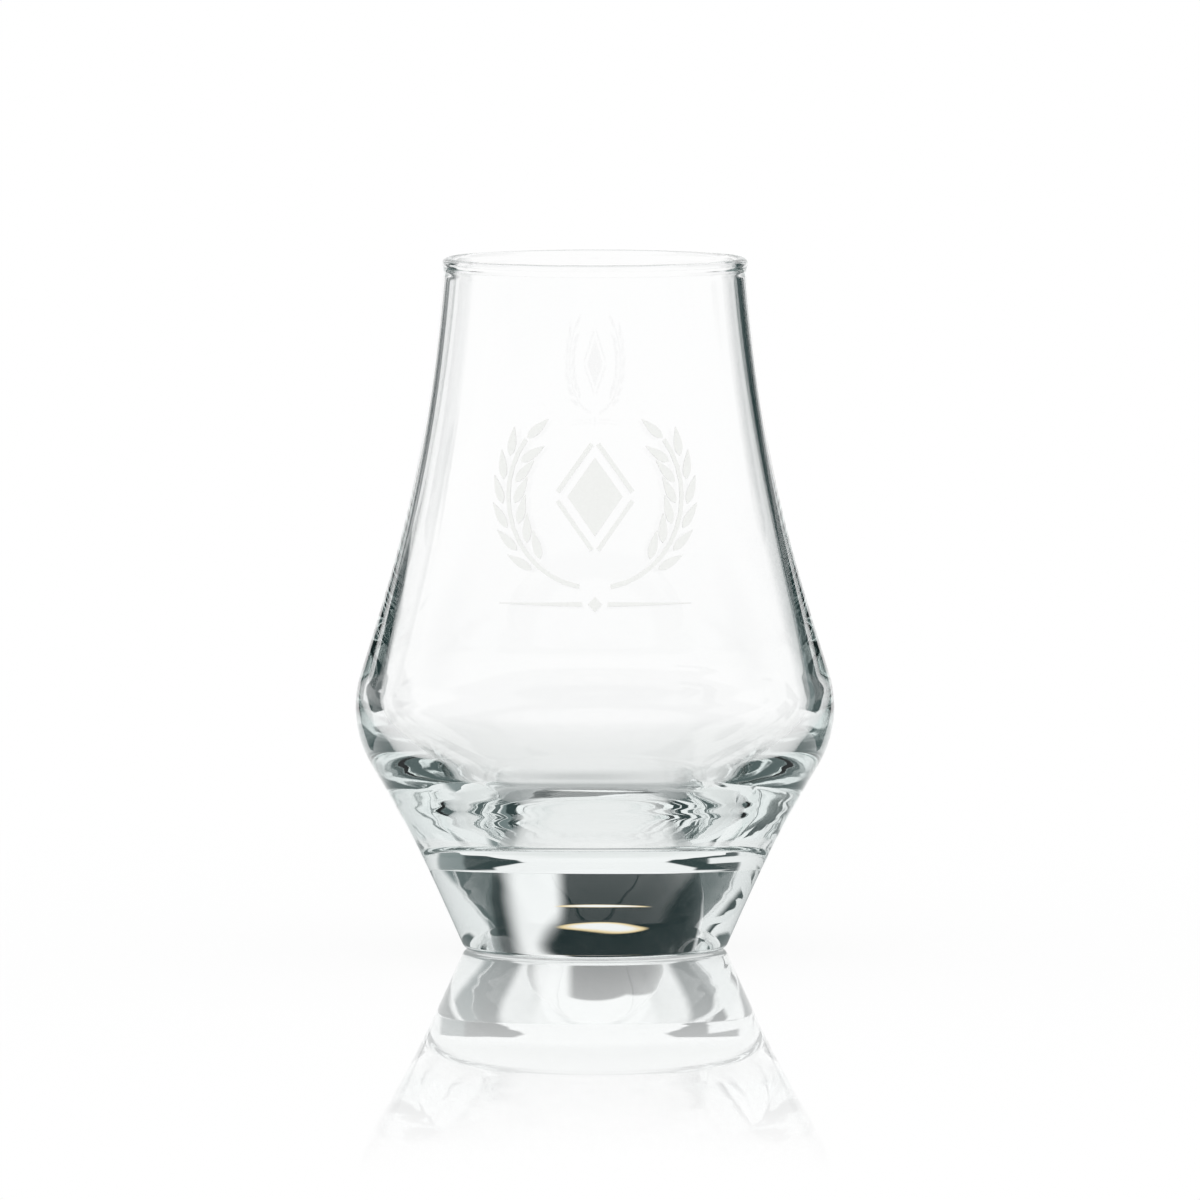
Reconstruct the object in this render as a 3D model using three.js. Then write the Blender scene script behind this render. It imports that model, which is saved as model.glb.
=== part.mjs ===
// A nosing glass for whisky: one press-blown body of clear glass, with a fired enamel print on its front.
// Millimetres, +Z up. The origin is on the table under the axis of the glass, and the print faces -Y.
import * as THREE from "three";

// Outside of the body. Leans are in degrees from the vertical.
const HEIGHT = 105;
const NECK_RADIUS = 23;
const NECK_DROP = 3;
const NECK_LEAN = 5;
const WIDEST_RADIUS = 36.4;
const WIDEST_HEIGHT = 36.7;
const SHOULDER_ROUNDING = 17;
const SHOULDER_LEAN_BELOW = 31;
const SHOULDER_LEAN_ABOVE = 17;
const FOOT_RADIUS = 20.15;
const FOOT_LEAN = 24;
const FOOT_EDGE_ROUNDING = 1.2;

// Rim bead, which swells a little out of the wall on both sides
const BEAD_PROUD = 0.15;
const BEAD_START = 20;

// Inside of the body
const NECK_WALL = 1.5;
const SHOULDER_WALL = 3.7;
const INNER_SHOULDER_RISE = 2.8;
const INNER_SHOULDER_LEAN = 10;
const FLOOR_HEIGHT = 18.2;
const FLOOR_RADIUS = 17.5;
const FLOOR_DISH = 0.7;
const FLOOR_CORNER_ROUNDING = 2;
const BOWL_LEAN = 37;

// Underside, a standing ring round a shallow hollow
const STANDING_RING_WIDTH = 4;
const HOLLOW_DEPTH = 0.8;

// How far each end of a flowing curve pulls it along, as a share of its chord
const FLANK_PULL = 0.4;
const WALL_PULL_BELOW = 0.3;
const WALL_PULL_ABOVE = 0.48;
const INNER_WALL_PULL_BELOW = 0.25;
const INNER_WALL_PULL_ABOVE = 0.45;
const BOWL_PULL_BELOW = 0.35;
const BOWL_PULL_ABOVE = 0.35;
const LIP_PULL = 0.35;

// Enamel print: a wreath of two barley ears round a lozenge, over a rule
const PRINT_DROP = 34.5;
const ENAMEL_THICKNESS = 0.08;
const ENAMEL_CLEARANCE = 0.1;
const WREATH_RADIUS = 13.5;
const STEM_START = 80;
const STEM_WIDTH = 0.7;
const GRAIN_PAIRS = 6;
const GRAIN_PITCH = 3.4;
const GRAIN_LENGTH = 4.4;
const GRAIN_WIDTH = 1.4;
const GRAIN_SPLAY = 24;
const GRAIN_CLEARANCE = 0.3;
const LEAF_FULLNESS = 0.7;
const BARE_STEM = 7.5;
const LOZENGE_CLEARANCE = 2.2;
const LOZENGE_SLIMNESS = 0.72;
const LOZENGE_BAR_WIDTH = 0.7;
const LOZENGE_BAR_GAP = 0.8;
const CORE_CLEARANCE = 2;
const RULE_DROP = 2.4;
const RULE_LENGTH = 13;
const RULE_WIDTH = 0.7;
const RULE_DIAMOND = 1.1;
const RULE_GAP = 0.8;
const ISLAND_TIP = 0.12;

// Facets
const ROUND_FACETS = 64;
const CURVE_FACETS = 8;
const ARC_FACETS = 4;
const ISLAND_FACET = 2.5;
const ISLAND_STEPS = 8;
const ISLAND_COLUMNS = 2;

// Rounds of halving that place a height on a curve
const HALVINGS = 30;

const radians = THREE.MathUtils.degToRad;

// A point (radius, height) of the half section through the axis
function at(radius, height) {
  return new THREE.Vector2(radius, height);
}

// A curve upwards between two points of the half section, with a lean at each end
function flowing(start, startLean, startPull, end, endLean, endPull) {
  const chord = start.distanceTo(end);
  const upwards = (lean) => at(Math.sin(radians(lean)), Math.cos(radians(lean)));
  const startHandle = start.clone().addScaledVector(upwards(startLean), chord * startPull);
  const endHandle = end.clone().addScaledVector(upwards(endLean), -chord * endPull);
  return new THREE.CubicBezierCurve(start, startHandle, endHandle, end);
}

function roundArc(centre, radius, startAngle, endAngle) {
  return new THREE.EllipseCurve(centre.x, centre.y, radius, radius, radians(startAngle), radians(endAngle));
}

// A shallow dish from the axis to its edge, level at the axis
function dish(edge, depth) {
  const bottom = at(0, edge.y + depth);
  return new THREE.QuadraticBezierCurve(bottom, at(edge.x / 2, bottom.y), edge);
}

// Outside, from the standing ring up to the neck
const ringOuter = FOOT_RADIUS - FOOT_EDGE_ROUNDING * Math.cos(radians(FOOT_LEAN));
const ringInner = ringOuter - STANDING_RING_WIDTH;
const footEdge = roundArc(at(ringOuter, FOOT_EDGE_ROUNDING), FOOT_EDGE_ROUNDING, -90, -FOOT_LEAN);
const shoulderCentre = at(WIDEST_RADIUS - SHOULDER_ROUNDING, WIDEST_HEIGHT);
const shoulder = roundArc(shoulderCentre, SHOULDER_ROUNDING, -SHOULDER_LEAN_BELOW, SHOULDER_LEAN_ABOVE);
const neck = at(NECK_RADIUS, HEIGHT - NECK_DROP);
const flank = flowing(
  footEdge.getPoint(1), FOOT_LEAN, FLANK_PULL,
  shoulder.getPoint(0), SHOULDER_LEAN_BELOW, FLANK_PULL,
);
const wall = flowing(
  shoulder.getPoint(1), -SHOULDER_LEAN_ABOVE, WALL_PULL_BELOW,
  neck, -NECK_LEAN, WALL_PULL_ABOVE,
);

// Rim bead, from the outside over the top to the inside
const beadRadius = NECK_WALL / 2 + BEAD_PROUD;
const beadCentre = at(NECK_RADIUS - NECK_WALL / 2, HEIGHT - beadRadius);
const bead = roundArc(beadCentre, beadRadius, -BEAD_START, 180 + BEAD_START);

// Inside, from the axis up to the neck
const innerNeck = at(NECK_RADIUS - NECK_WALL, neck.y);
const floorEdge = at(FLOOR_RADIUS, FLOOR_HEIGHT);
const floorLean = 90 - THREE.MathUtils.radToDeg(Math.atan2(2 * FLOOR_DISH, FLOOR_RADIUS));
const cornerCentre = at(
  FLOOR_RADIUS - FLOOR_CORNER_ROUNDING * Math.cos(radians(floorLean)),
  FLOOR_HEIGHT + FLOOR_CORNER_ROUNDING * Math.sin(radians(floorLean)),
);
const floorCorner = roundArc(cornerCentre, FLOOR_CORNER_ROUNDING, -floorLean, -BOWL_LEAN);
const innerShoulder = at(WIDEST_RADIUS - SHOULDER_WALL, WIDEST_HEIGHT + INNER_SHOULDER_RISE);
const bowl = flowing(
  floorCorner.getPoint(1), BOWL_LEAN, BOWL_PULL_BELOW,
  innerShoulder, -INNER_SHOULDER_LEAN, BOWL_PULL_ABOVE,
);
const innerWall = flowing(
  innerShoulder, -INNER_SHOULDER_LEAN, INNER_WALL_PULL_BELOW,
  innerNeck, -NECK_LEAN, INNER_WALL_PULL_ABOVE,
);

// Lips on both sides, which lead from the neck into the bead with no crease
const lip = flowing(neck, -NECK_LEAN, LIP_PULL, bead.getPoint(0), BEAD_START, LIP_PULL);
const innerLip = flowing(innerNeck, -NECK_LEAN, LIP_PULL, bead.getPoint(1), -BEAD_START, LIP_PULL);

// Points of several curves end to end, with each shared end once
function joined(pieces) {
  return pieces.flatMap(([curve, facets], index) => curve.getPoints(facets).slice(index === 0 ? 0 : 1));
}

const outside = joined([
  [dish(at(ringInner, 0), HOLLOW_DEPTH), ARC_FACETS],
  [new THREE.LineCurve(at(ringInner, 0), at(ringOuter, 0)), 1],
  [footEdge, ARC_FACETS],
  [flank, CURVE_FACETS],
  [shoulder, ARC_FACETS],
  [wall, CURVE_FACETS],
  [lip, ARC_FACETS],
]);
const inside = joined([
  [dish(floorEdge, -FLOOR_DISH), ARC_FACETS],
  [floorCorner, ARC_FACETS],
  [bowl, CURVE_FACETS],
  [innerWall, CURVE_FACETS],
  [innerLip, ARC_FACETS],
]);
const overTheTop = bead.getPoints(2 * ARC_FACETS).slice(1, -1);
const halfSection = [...outside, ...overTheTop, ...inside.reverse()];

const clearGlass = new THREE.MeshStandardMaterial({
  color: 0xeef4f2, roughness: 0.03, metalness: 0, transparent: true, opacity: 0.35,
});
const paleEnamel = new THREE.MeshStandardMaterial({ color: 0xe6e8e4, roughness: 0.55, metalness: 0 });

const glass = new THREE.Group();

function addPiece(name, geometry, material) {
  const piece = new THREE.Mesh(geometry, material.clone());
  piece.name = name;
  glass.add(piece);
}

addPiece("glass_body", new THREE.LatheGeometry(halfSection, ROUND_FACETS).rotateX(Math.PI / 2), clearGlass);

// The curve of the outside that spans a height
function outsideCurve(height) {
  if (height > shoulder.getPoint(1).y) return wall;
  if (height > shoulder.getPoint(0).y) return shoulder;
  return flank;
}

// Outside radius of the body at a height and how fast it grows with height, found by halving the curve
function wallAt(height) {
  const curve = outsideCurve(height);
  let low = 0;
  let high = 1;
  for (let halving = 0; halving < HALVINGS; halving += 1) {
    const middle = (low + high) / 2;
    if (curve.getPoint(middle).y < height) low = middle;
    else high = middle;
  }
  const tangent = curve.getTangent(low);
  return { radius: curve.getPoint(low).x, growth: tangent.x / tangent.y };
}

const printHeight = HEIGHT - PRINT_DROP;

// Bends a point of the flat print (across, up, out of the wall) round the front of the body
function onWall(across, up, out) {
  const { radius, growth } = wallAt(printHeight + up);
  const steep = Math.hypot(1, growth);
  const lift = ENAMEL_CLEARANCE + out;
  const reach = radius + lift / steep;
  const turn = across / radius;
  return [reach * Math.sin(turn), -reach * Math.cos(turn), printHeight + up - (lift * growth) / steep];
}

// Even number of facets along a length, so that the middle of a diamond falls on one of their joints
function islandFacets(length, fewest) {
  return Math.max(fewest, 2 * Math.ceil(length / (2 * ISLAND_FACET)));
}

// One island of enamel along a curve of the flat print, with outline as its share of the width on the way
function addIsland(name, spine, width, outline) {
  const columns = islandFacets(width, ISLAND_COLUMNS);
  const steps = islandFacets(spine.getLength(), ISLAND_STEPS);
  const island = new THREE.BoxGeometry(1, 1, 1, columns, steps, 1);
  const points = island.attributes.position;
  for (let i = 0; i < points.count; i += 1) {
    const along = points.getY(i) + 0.5;
    const place = spine.getPoint(along);
    const heading = spine.getTangent(along);
    const aside = points.getX(i) * (ISLAND_TIP + (width - ISLAND_TIP) * outline(along));
    const out = (points.getZ(i) + 0.5) * ENAMEL_THICKNESS;
    points.setXYZ(i, ...onWall(place.x + heading.y * aside, place.y - heading.x * aside, out));
  }
  addPiece(name, island, paleEnamel);
}

const even = () => 1;
const leaf = (along) => Math.sin(Math.PI * along ** LEAF_FULLNESS);
const diamond = (along) => 1 - Math.abs(2 * along - 1);
const taper = (along) => 1 - along;

// Barley ears: a stem on the wreath's circle, pairs of grains splayed from it and one grain at its tip
const earLength = BARE_STEM + GRAIN_PAIRS * GRAIN_PITCH;
const grainOffset = STEM_WIDTH / 2 + GRAIN_CLEARANCE + GRAIN_WIDTH / 4;

function addEar(label, side) {
  const angleAt = (distance) => radians(-STEM_START) + distance / WREATH_RADIUS;
  const placeAt = (distance, offset) => {
    const angle = angleAt(distance);
    return at(side * (WREATH_RADIUS + offset) * Math.cos(angle), (WREATH_RADIUS + offset) * Math.sin(angle));
  };
  const grain = (name, distance, offset, splay) => {
    const start = placeAt(distance, offset);
    const heading = angleAt(distance + GRAIN_LENGTH / 2) + Math.PI / 2 - radians(splay);
    const forwards = at(side * Math.cos(heading), Math.sin(heading));
    const end = start.clone().addScaledVector(forwards, GRAIN_LENGTH);
    addIsland(`${label}_${name}`, new THREE.LineCurve(start, end), GRAIN_WIDTH, leaf);
  };
  const mirrored = side < 0;
  const startAngle = mirrored ? Math.PI - angleAt(0) : angleAt(0);
  const endAngle = mirrored ? Math.PI - angleAt(earLength) : angleAt(earLength);
  const stem = new THREE.EllipseCurve(0, 0, WREATH_RADIUS, WREATH_RADIUS, startAngle, endAngle, mirrored);
  addIsland(`${label}_stem`, stem, STEM_WIDTH, even);
  for (let pair = 1; pair <= GRAIN_PAIRS; pair += 1) {
    const distance = BARE_STEM + (pair - 1) * GRAIN_PITCH;
    grain(`outer_grain_${pair}`, distance, grainOffset, GRAIN_SPLAY);
    grain(`inner_grain_${pair}`, distance, -grainOffset, -GRAIN_SPLAY);
  }
  grain("tip_grain", earLength + GRAIN_CLEARANCE, 0, 0);
}

addEar("left_ear", -1);
addEar("right_ear", 1);

// Lozenge in the middle of the wreath: four bars that stop short of its corners, round a solid core
const grainReach = grainOffset + GRAIN_LENGTH * Math.sin(radians(GRAIN_SPLAY));
const lozengeHalfHeight = WREATH_RADIUS - grainReach - LOZENGE_CLEARANCE;
const lozengeHalfWidth = lozengeHalfHeight * LOZENGE_SLIMNESS;
const lozengeCorners = [
  at(0, -lozengeHalfHeight),
  at(lozengeHalfWidth, 0),
  at(0, lozengeHalfHeight),
  at(-lozengeHalfWidth, 0),
];
const lozengeSides = ["lower_right", "upper_right", "upper_left", "lower_left"];

lozengeSides.forEach((name, index) => {
  const start = lozengeCorners[index];
  const end = lozengeCorners[(index + 1) % lozengeCorners.length];
  const inset = end.clone().sub(start).setLength(LOZENGE_BAR_GAP);
  const bar = new THREE.LineCurve(start.clone().add(inset), end.clone().sub(inset));
  addIsland(`lozenge_bar_${name}`, bar, LOZENGE_BAR_WIDTH, even);
});

const coreHalfHeight = lozengeHalfHeight - LOZENGE_BAR_WIDTH - CORE_CLEARANCE;
const coreSpine = new THREE.LineCurve(at(0, -coreHalfHeight), at(0, coreHalfHeight));
addIsland("lozenge_core", coreSpine, 2 * coreHalfHeight * LOZENGE_SLIMNESS, diamond);

// Rule under the wreath: a small diamond between two tapered strokes
const ruleHeight = -WREATH_RADIUS - RULE_DROP;
const diamondSpine = new THREE.LineCurve(at(0, ruleHeight - RULE_DIAMOND), at(0, ruleHeight + RULE_DIAMOND));
addIsland("rule_diamond", diamondSpine, 2 * RULE_DIAMOND, diamond);
for (const [name, side] of [["rule_left", -1], ["rule_right", 1]]) {
  const start = at(side * (RULE_DIAMOND + RULE_GAP), ruleHeight);
  const stroke = new THREE.LineCurve(start, start.clone().add(at(side * RULE_LENGTH, 0)));
  addIsland(name, stroke, RULE_WIDTH, taper);
}

export default glass;
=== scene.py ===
import math

import bpy
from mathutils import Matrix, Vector, noise


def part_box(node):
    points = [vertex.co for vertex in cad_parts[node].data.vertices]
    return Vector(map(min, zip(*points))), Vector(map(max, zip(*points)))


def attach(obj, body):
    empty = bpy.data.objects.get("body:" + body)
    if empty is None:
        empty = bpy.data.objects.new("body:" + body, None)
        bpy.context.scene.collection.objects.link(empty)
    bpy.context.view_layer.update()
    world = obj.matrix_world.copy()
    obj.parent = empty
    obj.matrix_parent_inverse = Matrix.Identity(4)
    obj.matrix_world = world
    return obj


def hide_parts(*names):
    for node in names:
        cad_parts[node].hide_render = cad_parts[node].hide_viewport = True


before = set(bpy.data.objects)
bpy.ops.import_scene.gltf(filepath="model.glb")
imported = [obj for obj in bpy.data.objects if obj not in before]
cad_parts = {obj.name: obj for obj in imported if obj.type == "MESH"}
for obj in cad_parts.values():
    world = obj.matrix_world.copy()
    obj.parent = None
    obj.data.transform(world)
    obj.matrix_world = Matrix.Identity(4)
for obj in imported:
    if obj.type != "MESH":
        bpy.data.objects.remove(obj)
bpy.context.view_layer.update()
scene = bpy.context.scene


# Glass body: one heavy piece of clear soda-lime glass, pressed and blown in a mould and then fire polished.
# Its half section is turned round the axis. The mould and the plunger leave faint waves on the base and on
# the floor of the bowl, and these draw the light and dark streaks that show in the thick glass.
MM = 0.001
NECK_RADIUS = 23 * MM
NECK_DROP = 3 * MM
NECK_LEAN = 5
WIDEST_HEIGHT = 36.7 * MM
SHOULDER_ROUNDING = 17 * MM
SHOULDER_LEAN_BELOW = 31
SHOULDER_LEAN_ABOVE = 17
FOOT_RADIUS = 20.15 * MM
FOOT_LEAN = 24
FOOT_EDGE_ROUNDING = 1.2 * MM
BEAD_PROUD = 0.15 * MM
BEAD_START = 20
LIP_PULL = 0.35
NECK_WALL = 1.5 * MM
SHOULDER_WALL = 3.7 * MM
INNER_SHOULDER_RISE = 2.8 * MM
INNER_SHOULDER_LEAN = 10
FLOOR_HEIGHT = 18.2 * MM
FLOOR_RADIUS = 17.5 * MM
FLOOR_DISH = 0.7 * MM
FLOOR_CORNER_ROUNDING = 2 * MM
BOWL_LEAN = 37
STANDING_RING_WIDTH = 4 * MM
HOLLOW_DEPTH = 0.8 * MM
FLANK_PULL = 0.4
WALL_PULL_BELOW = 0.3
WALL_PULL_ABOVE = 0.48
INNER_WALL_PULL_BELOW = 0.25
INNER_WALL_PULL_ABOVE = 0.45
BOWL_PULL_BELOW = 0.35
BOWL_PULL_ABOVE = 0.35
SECTION_STEP = 0.5 * MM
ON_AXIS = 0.005 * MM
ARC_STEPS = 36
CURVE_STEPS = 16
TURN_STEPS = 480
PLUNGER_WAVE = 0.025 * MM
PLUNGER_WAVE_ROUND = 20 * MM
PLUNGER_WAVE_ALONG = 2 * MM
PLUNGER_FLOOR_SHARE = 0.3
FLOOR_MIDDLE_SHARE = 0.8
PLUNGER_WAVE_FULL = 25 * MM
PLUNGER_WAVE_TOP = 32 * MM
MOULD_WAVE = 0.006 * MM
MOULD_WAVE_ACROSS = 10 * MM
MOULD_WAVE_UP = 3 * MM
MOULD_WAVE_START = 0.5 * MM
MOULD_WAVE_FOOT = 2 * MM
MOULD_WAVE_FULL = 14 * MM
MOULD_WAVE_TOP = 26 * MM
GLASS_IOR = 1.52
GLASS_TINT = (0.55, 0.75, 0.72, 1)
GLASS_TINT_DENSITY = 3

_, glass_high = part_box("glass_body")
height = glass_high.z
widest_radius = glass_high.x


def point(radius, up):
    """A point of the half section through the axis."""
    return Vector((radius, up))


def leaning(lean):
    """The way upwards along the section at a lean in degrees from the vertical."""
    return point(math.sin(math.radians(lean)), math.cos(math.radians(lean)))


def steps_for(length):
    """How many steps a stretch of the section takes."""
    return max(CURVE_STEPS, math.ceil(length / SECTION_STEP))


def flowing(start, start_lean, start_pull, end, end_lean, end_pull):
    """Points of a cubic curve between two points, with a lean and a pull along it at each end."""
    chord = (end - start).length
    start_handle = start + leaning(start_lean) * chord * start_pull
    end_handle = end - leaning(end_lean) * chord * end_pull
    count = steps_for(chord)
    curve = []
    for step in range(count + 1):
        t = step / count
        curve.append(
            start * (1 - t) ** 3
            + start_handle * 3 * t * (1 - t) ** 2
            + end_handle * 3 * t ** 2 * (1 - t)
            + end * t ** 3
        )
    return curve


def arc(centre, radius, start_angle, end_angle):
    """Points of an arc, with its angles in degrees."""
    sweep = math.radians(end_angle - start_angle)
    count = max(ARC_STEPS, steps_for(abs(sweep) * radius))
    angles = [math.radians(start_angle) + sweep * step / count for step in range(count + 1)]
    return [centre + radius * point(math.cos(angle), math.sin(angle)) for angle in angles]


def dish(edge, depth):
    """Points of a shallow dish from the axis out to its edge, level at the axis."""
    count = steps_for(edge.x)
    shares = [step / count for step in range(count + 1)]
    return [point(edge.x * share, edge.y + depth * (1 - share ** 2)) for share in shares]


ring_outer = FOOT_RADIUS - FOOT_EDGE_ROUNDING * math.cos(math.radians(FOOT_LEAN))
ring_inner = point(ring_outer - STANDING_RING_WIDTH, 0)
foot_edge = arc(point(ring_outer, FOOT_EDGE_ROUNDING), FOOT_EDGE_ROUNDING, -90, -FOOT_LEAN)
shoulder_centre = point(widest_radius - SHOULDER_ROUNDING, WIDEST_HEIGHT)
shoulder = arc(shoulder_centre, SHOULDER_ROUNDING, -SHOULDER_LEAN_BELOW, SHOULDER_LEAN_ABOVE)
neck = point(NECK_RADIUS, height - NECK_DROP)
flank = flowing(foot_edge[-1], FOOT_LEAN, FLANK_PULL, shoulder[0], SHOULDER_LEAN_BELOW, FLANK_PULL)
wall = flowing(shoulder[-1], -SHOULDER_LEAN_ABOVE, WALL_PULL_BELOW, neck, -NECK_LEAN, WALL_PULL_ABOVE)

bead_radius = NECK_WALL / 2 + BEAD_PROUD
bead_centre = point(NECK_RADIUS - NECK_WALL / 2, height - bead_radius)
bead = arc(bead_centre, bead_radius, -BEAD_START, 180 + BEAD_START)
lip = flowing(neck, -NECK_LEAN, LIP_PULL, bead[0], BEAD_START, LIP_PULL)
inner_neck = point(NECK_RADIUS - NECK_WALL, neck.y)
inner_lip = flowing(inner_neck, -NECK_LEAN, LIP_PULL, bead[-1], -BEAD_START, LIP_PULL)

floor_edge = point(FLOOR_RADIUS, FLOOR_HEIGHT)
floor_lean = 90 - math.degrees(math.atan2(2 * FLOOR_DISH, FLOOR_RADIUS))
corner_centre = floor_edge + FLOOR_CORNER_ROUNDING * leaning(floor_lean - 90)
floor_corner = arc(corner_centre, FLOOR_CORNER_ROUNDING, -floor_lean, -BOWL_LEAN)
inner_shoulder = point(widest_radius - SHOULDER_WALL, WIDEST_HEIGHT + INNER_SHOULDER_RISE)
bowl = flowing(
    floor_corner[-1], BOWL_LEAN, BOWL_PULL_BELOW,
    inner_shoulder, -INNER_SHOULDER_LEAN, BOWL_PULL_ABOVE,
)
inner_wall = flowing(
    inner_shoulder, -INNER_SHOULDER_LEAN, INNER_WALL_PULL_BELOW,
    inner_neck, -NECK_LEAN, INNER_WALL_PULL_ABOVE,
)


def end_to_end(*curves):
    """The points of several curves in a row, with each shared end once."""
    row = list(curves[0])
    for curve in curves[1:]:
        row += curve[1:]
    return row


underside = dish(ring_inner, HOLLOW_DEPTH) + foot_edge
outside = end_to_end(underside, flank, shoulder, wall, lip, bead)
inside = end_to_end(dish(floor_edge, -FLOOR_DISH), floor_corner, bowl, inner_wall, inner_lip)
half_section = end_to_end(outside, inside[::-1])
inside_start = len(outside)


def fade(value, full, none):
    """1 up to full, then a smooth fall to 0 at none."""
    share = min(1, max(0, (value - full) / (none - full)))
    return 1 - share * share * (3 - 2 * share)


def wave(place, is_inside):
    """How far the worked surface stands off the true section at a place."""
    if is_inside:
        round_axis = place / PLUNGER_WAVE_ROUND
        along = (place.xy.length + place.z) / PLUNGER_WAVE_ALONG
        swell = noise.noise(Vector((round_axis.x, round_axis.y, along)))
        on_floor = fade(place.xy.length, FLOOR_MIDDLE_SHARE * FLOOR_RADIUS, FLOOR_RADIUS)
        strength = 1 - (1 - PLUNGER_FLOOR_SHARE) * on_floor
        return PLUNGER_WAVE * swell * strength * fade(place.z, PLUNGER_WAVE_FULL, PLUNGER_WAVE_TOP)
    across = place / MOULD_WAVE_ACROSS
    ripple = noise.noise(Vector((across.x, across.y, place.z / MOULD_WAVE_UP)))
    clear_of_foot = 1 - fade(place.z, MOULD_WAVE_START, MOULD_WAVE_FOOT)
    return MOULD_WAVE * ripple * clear_of_foot * fade(place.z, MOULD_WAVE_FULL, MOULD_WAVE_TOP)


def turned_mesh(name, section, steps):
    """A closed mesh turned from a half section that starts and ends on the axis."""
    corners, rings = [], []
    for index, spot in enumerate(section):
        before = section[max(index - 1, 0)]
        after = section[min(index + 1, len(section) - 1)]
        along = (after - before).normalized()
        is_inside = index >= inside_start
        count = 1 if spot.x < ON_AXIS else steps
        ring = []
        for step in range(count):
            turn = 2 * math.pi * step / steps
            outwards = Vector((math.cos(turn), math.sin(turn), 0))
            place = outwards * spot.x + Vector((0, 0, spot.y))
            normal = outwards * along.y - Vector((0, 0, along.x))
            if spot.y > 0 and count > 1:
                place = place + normal * wave(place, is_inside)
            ring.append(len(corners))
            corners.append(place)
        rings.append(ring)
    faces = []
    for lower, upper in zip(rings, rings[1:]):
        for step in range(steps):
            following = (step + 1) % steps
            if len(lower) == 1:
                faces.append((lower[0], upper[following], upper[step]))
            elif len(upper) == 1:
                faces.append((lower[step], lower[following], upper[0]))
            else:
                faces.append((lower[step], lower[following], upper[following], upper[step]))
    mesh = bpy.data.meshes.new(name)
    mesh.from_pydata(corners, [], faces)
    mesh.shade_smooth()
    return mesh


def finish_of(name):
    """A new material, with its node tree and its main shader."""
    material = bpy.data.materials.new(name)
    material.use_nodes = True
    return material, material.node_tree, material.node_tree.nodes["Principled BSDF"]


clear_glass, tree, shader = finish_of("clear_glass")
shader.inputs["Base Color"].default_value = (1, 1, 1, 1)
shader.inputs["Roughness"].default_value = 0
shader.inputs["IOR"].default_value = GLASS_IOR
shader.inputs["Transmission Weight"].default_value = 1
tint = tree.nodes.new("ShaderNodeVolumeAbsorption")
tint.inputs["Color"].default_value = GLASS_TINT
tint.inputs["Density"].default_value = GLASS_TINT_DENSITY
tree.links.new(tint.outputs["Volume"], tree.nodes["Material Output"].inputs["Volume"])

glass = bpy.data.objects.new("blown_glass", turned_mesh("blown_glass", half_section, TURN_STEPS))
scene.collection.objects.link(glass)
glass.data.materials.append(clear_glass)
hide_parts("glass_body")
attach(glass, "root")


# Enamel print: a wreath of two barley ears round a lozenge, over a rule, on the front of the wall.
# It is pale ceramic enamel, printed through a fine screen and fired on, so it is satin and a little uneven.
ENAMEL_PALE = (0.92, 0.93, 0.91, 1)
ENAMEL_DEEP = (0.87, 0.88, 0.86, 1)
ENAMEL_ROUGHNESS = 0.5
ENAMEL_GRAIN = 0.4 * MM

pale_enamel, tree, shader = finish_of("pale_enamel")
place = tree.nodes.new("ShaderNodeTexCoord")
grain = tree.nodes.new("ShaderNodeTexNoise")
grain.inputs["Scale"].default_value = 1 / ENAMEL_GRAIN
tree.links.new(place.outputs["Object"], grain.inputs["Vector"])
colours = tree.nodes.new("ShaderNodeValToRGB")
colours.color_ramp.elements[0].color = ENAMEL_DEEP
colours.color_ramp.elements[1].color = ENAMEL_PALE
tree.links.new(grain.outputs["Fac"], colours.inputs["Fac"])
tree.links.new(colours.outputs["Color"], shader.inputs["Base Color"])
shader.inputs["Roughness"].default_value = ENAMEL_ROUGHNESS
for name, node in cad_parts.items():
    if name != "glass_body":
        node.data.materials.clear()
        node.data.materials.append(pale_enamel)


# Table: a polished white plate under the glass, which mirrors the foot and fades out into the white studio.
# Seen through the glass it glows with painted shade, grey round the foot and whiter further out, and it ends
# sooner, so that the studio's flags show past its edge.
TABLE_RADIUS = 0.42
TABLE_CORNERS = 128
TABLE_DROP = 0.1 * MM
TABLE_COLOUR = (0.97, 0.97, 0.97, 1)
TABLE_SHADOW_SHARE = 0.35
TABLE_IOR = 1.5
TABLE_POLISH = 0.6
TABLE_ROUGHNESS = 0.01
TABLE_FADE_START = 0.04
TABLE_FADE_END = 0.33
THROUGH_GLASS_HALF_WIDTH = 0.09
# Painted shade: seen through the glass, the plate glows grey round the foot and turns white further out.
PAINTED_SHADE_NEAR_GLASS = (0.87, 0.88, 0.875, 1)
# Painted shadow: a dark ring on the plate under the standing ring of the glass.
THROUGH_GLASS_SHADE = (0.35, 0.37, 0.37, 1)
# Painted shade: the table beside the foot is dark where the outer surfaces of the glass mirror it.
PAINTED_SHADE_BESIDE_FOOT = (0.25, 0.28, 0.28, 1)
SHADE_START = 0.015
SHADE_END = 0.021
SHADE_FADE = 0.004
PAINTED_SHADE_LIGHTENING_START = 0.06
PAINTED_SHADE_LIGHTENING_END = 0.15
WHITE = (1, 1, 1, 1)
FIRST_BOUNCE = 1.5


def feed(tree, value, socket):
    """Put a number, a colour or another node's output into a socket."""
    if isinstance(value, bpy.types.NodeSocket):
        tree.links.new(value, socket)
    else:
        socket.default_value = value


def maths(tree, operation, *values):
    """The output of one maths node."""
    node = tree.nodes.new("ShaderNodeMath")
    node.operation = operation
    for socket, value in zip(node.inputs, values):
        feed(tree, value, socket)
    return node.outputs[0]


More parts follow.
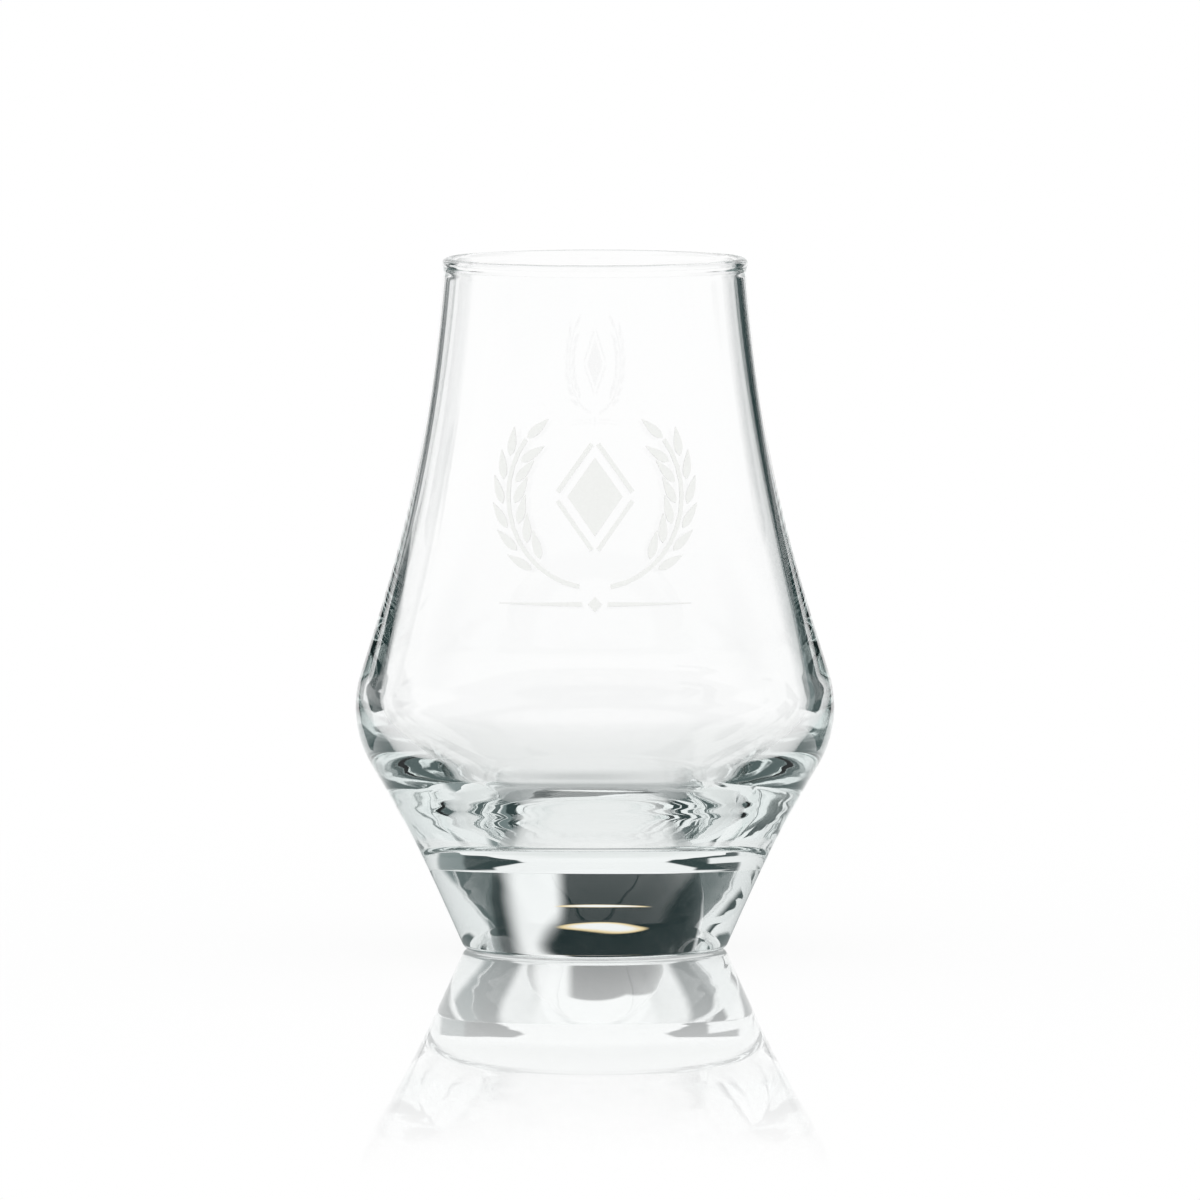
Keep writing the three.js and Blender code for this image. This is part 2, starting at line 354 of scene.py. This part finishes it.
def rise(tree, value, start, end):
    """0 below start, 1 above end and smooth between."""
    step = tree.nodes.new("ShaderNodeMapRange")
    step.interpolation_type = "SMOOTHSTEP"
    feed(tree, value, step.inputs["Value"])
    feed(tree, start, step.inputs["From Min"])
    feed(tree, end, step.inputs["From Max"])
    return step.outputs["Result"]


def between(tree, value, start, end, rising, falling):
    """1 from start to end, rising to it before start and falling from it after end."""
    return maths(
        tree, "SUBTRACT",
        rise(tree, value, start - rising, start), rise(tree, value, end, end + falling),
    )


def mixed(tree, share, low, high):
    """One colour at share 0 and another at share 1."""
    mix = tree.nodes.new("ShaderNodeMix")
    mix.data_type = "RGBA"
    # Inputs 6 and 7 and output 2 are the node's colour sockets.
    for socket, value in zip((mix.inputs[0], mix.inputs[6], mix.inputs[7]), (share, low, high)):
        feed(tree, value, socket)
    return mix.outputs[2]


def mixed_shader(tree, share, low, high):
    """One shader at share 0 and another at share 1."""
    mix = tree.nodes.new("ShaderNodeMixShader")
    for socket, value in zip(mix.inputs, (share, low, high)):
        feed(tree, value, socket)
    return mix.outputs[0]


def glowing(tree, colour):
    """A shader that shows a colour as it is, in any light."""
    glow = tree.nodes.new("ShaderNodeEmission")
    feed(tree, colour, glow.inputs["Color"])
    return glow.outputs[0]


def through_glass(tree):
    """1 for a ray that has been through the glass or off a shiny surface."""
    path = tree.nodes.new("ShaderNodeLightPath")
    return maths(tree, "MAXIMUM", path.outputs["Is Glossy Ray"], path.outputs["Is Transmission Ray"])


def off_outside(tree):
    """1 for a ray that comes straight off an outer surface of the glass or off the table."""
    path = tree.nodes.new("ShaderNodeLightPath")
    is_first = maths(tree, "LESS_THAN", path.outputs["Ray Depth"], FIRST_BOUNCE)
    return maths(tree, "MULTIPLY", path.outputs["Is Glossy Ray"], is_first)


bpy.ops.mesh.primitive_circle_add(
    vertices=TABLE_CORNERS, radius=TABLE_RADIUS, fill_type="NGON", location=(0, 0, -TABLE_DROP),
)
table = bpy.context.object
table.name = "table"
plate, tree, shader = finish_of("table_plate")
tree.nodes.remove(shader)
place = tree.nodes.new("ShaderNodeTexCoord")
length = tree.nodes.new("ShaderNodeVectorMath")
length.operation = "LENGTH"
tree.links.new(place.outputs["Object"], length.inputs[0])
out_from_glass = length.outputs["Value"]
matt = tree.nodes.new("ShaderNodeBsdfDiffuse")
matt.inputs["Color"].default_value = TABLE_COLOUR
polish = tree.nodes.new("ShaderNodeBsdfGlossy")
polish.inputs["Color"].default_value = WHITE
polish.inputs["Roughness"].default_value = TABLE_ROUGHNESS
sheen = tree.nodes.new("ShaderNodeFresnel")
sheen.inputs["IOR"].default_value = TABLE_IOR
white = glowing(tree, WHITE)
shaded = mixed_shader(tree, TABLE_SHADOW_SHARE, white, matt.outputs[0])
mirroring = maths(tree, "POWER", sheen.outputs[0], TABLE_POLISH)
polished = mixed_shader(tree, mirroring, shaded, polish.outputs[0])
fading = rise(tree, out_from_glass, TABLE_FADE_START, TABLE_FADE_END)
seen_plainly = mixed_shader(tree, fading, polished, white)
# Seen through the glass, the plate is a glow with painted shade: grey round the foot, darker beside it in
# the glass's outer reflections, with a painted shadow ring under the standing ring, and white further out.
painted_shade_lightening = rise(tree, out_from_glass, PAINTED_SHADE_LIGHTENING_START, PAINTED_SHADE_LIGHTENING_END)
# Straight off the outside of the glass, the plate shows the darker painted shade beside the foot.
painted_shade_near = mixed(tree, off_outside(tree), PAINTED_SHADE_NEAR_GLASS, PAINTED_SHADE_BESIDE_FOOT)
painted_shade_tone = mixed(tree, painted_shade_lightening, painted_shade_near, WHITE)
# The painted shadow ring under the standing ring of the glass.
shade = between(tree, out_from_glass, SHADE_START, SHADE_END, SHADE_FADE / 2, SHADE_FADE)
painted_shade_glow = glowing(tree, mixed(tree, shade, painted_shade_tone, THROUGH_GLASS_SHADE))
parts = tree.nodes.new("ShaderNodeSeparateXYZ")
tree.links.new(place.outputs["Object"], parts.inputs["Vector"])
off_strips = maths(
    tree, "MINIMUM",
    maths(tree, "ABSOLUTE", parts.outputs["X"]), maths(tree, "ABSOLUTE", parts.outputs["Y"]),
)
past_edge = maths(tree, "GREATER_THAN", off_strips, THROUGH_GLASS_HALF_WIDTH)
open_air = tree.nodes.new("ShaderNodeBsdfTransparent").outputs[0]
seen_through = mixed_shader(tree, past_edge, painted_shade_glow, open_air)
tree.links.new(
    mixed_shader(tree, through_glass(tree), seen_plainly, seen_through),
    tree.nodes["Material Output"].inputs["Surface"],
)
table.data.materials.append(plate)


# Studio: white backdrops behind the glass for the front and the side, with dark flags that draw its edges.
# Higher up are a dark beam with a window, two warm lamps, grey side walls and a white ceiling, which show in
# the base. Turns are degrees from straight behind the glass, and heights are degrees above level.
BACKDROP_HALF_WIDTH = 15
BACKDROP_SPREAD = 9
BACKDROP_EDGE = 2
SIDE_BACKDROP_TURN = 90
FLAG_BOTTOM = -16
SIDE_FLAG_BOTTOM = -8
FLAG_TOP = 13
FLAG_SOFTNESS = 3
FLAG_DARK = (0.024, 0.045, 0.045, 1)
FLAG_GREY = (0.19, 0.235, 0.235, 1)
RIGHT_FLAG_DARK_END = 35
RIGHT_FLAG_GREY_END = 51
RIGHT_FLAG_FADE = 6
SIDE_FLAG_CUT = 25
LEFT_FLAG_END = 42
LEFT_FLAG_FADE = 4
LEFT_SLOT_START = 29
LEFT_SLOT_BOTTOM = -1
LEFT_SLOT_TOP = 4
SIDE_SLOT_TOP = 6
SLOT_SOFTNESS = 1
ROOM_LIGHT = (0.92, 0.93, 0.93, 1)
BEAM_DARK = (0.003, 0.014, 0.015, 1)
BEAM_BOTTOM = 22.5
BEAM_TOP = 46
BEAM_LEVEL_END = 12
BEAM_BOTTOM_SLOPE = 0.3
BEAM_TOP_SLOPE = 0.4
BEAM_END = 44
BEAM_END_FADE = 6
BEAM_SOFTNESS = 1
WINDOW_START = 12
WINDOW_END = 23
WINDOW_RISE = 5
WINDOW_FALL = 12
WINDOW_BOTTOM = 27
WINDOW_SOFTNESS = 2
SIDE_WALL_GREY = (0.085, 0.115, 0.115, 1)
RIGHT_WALL_START = 44
LEFT_WALL_START = 62
SIDE_WALL_BOTTOM = 16
FRONT_WALL_START = 95
FRONT_WALL_FULL = 150
FRONT_WALL_BOTTOM = 2
SIDE_WALL_TOP = 50
SIDE_WALL_SOFTNESS = 6
LAMP_GOLD = (0.95, 0.75, 0.42, 1)
LAMP_TURN = -2.5
LAMP_HALF_WIDTH = 15
LAMP_BOW = 0.0068
LAMP_HEIGHTS = (24.8, 26.4)
LAMP_HALF_HEIGHTS = (0.3, 0.15)
LAMP_WHITE_END = 0.2
LAMP_GOLD_START = 0.7
LAMP_FADE_START = 0.6
LAMP_EDGE = 1
FRONT_HALF_START = 80
FRONT_HALF_FULL = 110
FEW_BOUNCES = 4.5

world = bpy.data.worlds.new("studio")
scene.world = world
world.use_nodes = True
tree = world.node_tree
tree.nodes.clear()


def product(tree, *shares):
    """Several shares or numbers multiplied together."""
    result = shares[0]
    for share in shares[1:]:
        result = maths(tree, "MULTIPLY", result, share)
    return result


direction = tree.nodes.new("ShaderNodeTexCoord")
parts = tree.nodes.new("ShaderNodeSeparateXYZ")
tree.links.new(direction.outputs["Generated"], parts.inputs["Vector"])
turn = maths(tree, "DEGREES", maths(tree, "ARCTAN2", parts.outputs["X"], parts.outputs["Y"]))
away = maths(tree, "ABSOLUTE", turn)
above = maths(tree, "DEGREES", maths(tree, "ARCSINE", parts.outputs["Z"]))

on_side = maths(tree, "LESS_THAN", turn, -SIDE_BACKDROP_TURN / 2)
aside = maths(tree, "MULTIPLY_ADD", on_side, SIDE_BACKDROP_TURN, turn)
leftwards = maths(tree, "MULTIPLY", aside, -1)
spread = maths(tree, "MINIMUM", maths(tree, "ABSOLUTE", above), BACKDROP_SPREAD)
half_width = maths(tree, "ADD", spread, BACKDROP_HALF_WIDTH)
raised = maths(tree, "MULTIPLY_ADD", on_side, FLAG_BOTTOM - SIDE_FLAG_BOTTOM, above)
level = product(
    tree,
    rise(tree, raised, FLAG_BOTTOM - FLAG_SOFTNESS, FLAG_BOTTOM),
    maths(tree, "SUBTRACT", 1, rise(tree, above, FLAG_TOP, FLAG_TOP + FLAG_SOFTNESS)),
)

greying = rise(tree, aside, RIGHT_FLAG_DARK_END, RIGHT_FLAG_DARK_END + FLAG_SOFTNESS)
to_flag_end = maths(tree, "MULTIPLY_ADD", on_side, SIDE_FLAG_CUT, aside)
ending = rise(tree, to_flag_end, RIGHT_FLAG_GREY_END, RIGHT_FLAG_GREY_END + RIGHT_FLAG_FADE)
right_flag = mixed(tree, ending, mixed(tree, greying, FLAG_DARK, FLAG_GREY), ROOM_LIGHT)
in_side_slot = between(tree, above, LEFT_SLOT_BOTTOM, SIDE_SLOT_TOP, SLOT_SOFTNESS, SLOT_SOFTNESS)
right_flag = mixed(tree, product(tree, on_side, in_side_slot), right_flag, ROOM_LIGHT)
past_right = rise(tree, maths(tree, "SUBTRACT", aside, half_width), 0, BACKDROP_EDGE)
seen = mixed(tree, product(tree, past_right, level), WHITE, right_flag)

slot = product(
    tree,
    between(tree, above, LEFT_SLOT_BOTTOM, LEFT_SLOT_TOP, SLOT_SOFTNESS, SLOT_SOFTNESS),
    rise(tree, leftwards, LEFT_SLOT_START - SLOT_SOFTNESS, LEFT_SLOT_START + SLOT_SOFTNESS),
)
ending = rise(tree, leftwards, LEFT_FLAG_END, LEFT_FLAG_END + LEFT_FLAG_FADE)
left_flag = mixed(tree, ending, mixed(tree, slot, FLAG_DARK, ROOM_LIGHT), ROOM_LIGHT)
past_left = rise(tree, maths(tree, "SUBTRACT", leftwards, half_width), 0, BACKDROP_EDGE)
seen = mixed(tree, product(tree, past_left, level), seen, left_flag)

past_middle = maths(tree, "MAXIMUM", maths(tree, "SUBTRACT", away, BEAM_LEVEL_END), 0)
over_bottom = maths(tree, "MULTIPLY_ADD", past_middle, -BEAM_BOTTOM_SLOPE, above)
over_top = maths(tree, "MULTIPLY_ADD", past_middle, -BEAM_TOP_SLOPE, above)
beam = product(
    tree,
    rise(tree, over_bottom, BEAM_BOTTOM - BEAM_SOFTNESS, BEAM_BOTTOM),
    rise(tree, maths(tree, "MULTIPLY", over_top, -1), -BEAM_TOP - BEAM_SOFTNESS, -BEAM_TOP),
    between(tree, turn, -BEAM_END, BEAM_END, BEAM_END_FADE, BEAM_END_FADE),
)
window = product(
    tree,
    between(tree, turn, WINDOW_START, WINDOW_END, WINDOW_RISE, WINDOW_FALL),
    rise(tree, above, WINDOW_BOTTOM - WINDOW_SOFTNESS, WINDOW_BOTTOM),
)
seen = mixed(tree, beam, seen, mixed(tree, window, BEAM_DARK, WHITE))

in_front = rise(tree, away, FRONT_WALL_START, FRONT_WALL_FULL)
wall_bottom = maths(tree, "MULTIPLY_ADD", in_front, FRONT_WALL_BOTTOM - SIDE_WALL_BOTTOM, SIDE_WALL_BOTTOM)
side_walls = product(
    tree,
    rise(tree, maths(tree, "SUBTRACT", above, wall_bottom), 0, SIDE_WALL_SOFTNESS),
    maths(tree, "SUBTRACT", 1, rise(tree, above, SIDE_WALL_TOP, SIDE_WALL_TOP + SIDE_WALL_SOFTNESS)),
    maths(
        tree, "MAXIMUM",
        rise(tree, turn, RIGHT_WALL_START - SIDE_WALL_SOFTNESS, RIGHT_WALL_START),
        rise(tree, maths(tree, "MULTIPLY", turn, -1), LEFT_WALL_START - SIDE_WALL_SOFTNESS, LEFT_WALL_START),
    ),
)
seen = mixed(tree, side_walls, seen, SIDE_WALL_GREY)

lamp_across = maths(tree, "DIVIDE", maths(tree, "SUBTRACT", turn, LAMP_TURN), LAMP_HALF_WIDTH)
over_bow = maths(tree, "MULTIPLY_ADD", product(tree, turn, turn), -LAMP_BOW, above)
for lamp_height, half_height in zip(LAMP_HEIGHTS, LAMP_HALF_HEIGHTS):
    lamp_up = maths(tree, "DIVIDE", maths(tree, "SUBTRACT", over_bow, lamp_height), half_height)
    off_lamp = maths(tree, "ADD", product(tree, lamp_across, lamp_across), product(tree, lamp_up, lamp_up))
    lamp = mixed(tree, rise(tree, off_lamp, LAMP_WHITE_END, LAMP_GOLD_START), WHITE, LAMP_GOLD)
    seen = mixed(tree, rise(tree, off_lamp, LAMP_FADE_START, LAMP_EDGE), lamp, seen)

background = tree.nodes.new("ShaderNodeBackground")
path = tree.nodes.new("ShaderNodeLightPath")
# After few bounces the front half of the room is plain light, so the thin wall mirrors no dark side wall.
is_early = maths(tree, "LESS_THAN", path.outputs["Ray Depth"], FEW_BOUNCES)
off_inside = product(tree, rise(tree, away, FRONT_HALF_START, FRONT_HALF_FULL), is_early)
off_front = maths(tree, "MAXIMUM", off_outside(tree), off_inside)
seen = mixed(tree, off_front, seen, ROOM_LIGHT)
feed(tree, mixed(tree, through_glass(tree), WHITE, seen), background.inputs["Color"])
output = tree.nodes.new("ShaderNodeOutputWorld")
tree.links.new(background.outputs["Background"], output.inputs["Surface"])

LIGHT_BOUNCES = 48
scene.cycles.max_bounces = LIGHT_BOUNCES
scene.cycles.glossy_bounces = LIGHT_BOUNCES
scene.cycles.transmission_bounces = LIGHT_BOUNCES
scene.view_settings.view_transform = "Standard"


# Camera: almost level with the glass, with a long lens, as in a catalogue picture.
# The places of the foot and of the axis are in pixels of the picture, and so is its size.
PICTURE_SIZE = 1200
FOOT_CENTRE_Y = 948
AXIS_X = 595
PIXELS_PER_METRE = 6590
CAMERA_DISTANCE = 2.6
CAMERA_TILT = math.radians(4.25)
SENSOR_WIDTH = 36

aim = Vector((0, 0, (FOOT_CENTRE_Y - PICTURE_SIZE / 2) / PIXELS_PER_METRE / math.cos(CAMERA_TILT)))
lens = bpy.data.cameras.new("camera")
camera = bpy.data.objects.new("camera", lens)
scene.collection.objects.link(camera)
camera.location = aim + CAMERA_DISTANCE * Vector((0, -math.cos(CAMERA_TILT), math.sin(CAMERA_TILT)))
camera.rotation_euler = (aim - camera.location).to_track_quat("-Z", "Y").to_euler()
lens.sensor_width = SENSOR_WIDTH
lens.lens = SENSOR_WIDTH * CAMERA_DISTANCE * PIXELS_PER_METRE / PICTURE_SIZE
lens.shift_x = (PICTURE_SIZE / 2 - AXIS_X) / PICTURE_SIZE
scene.camera = camera
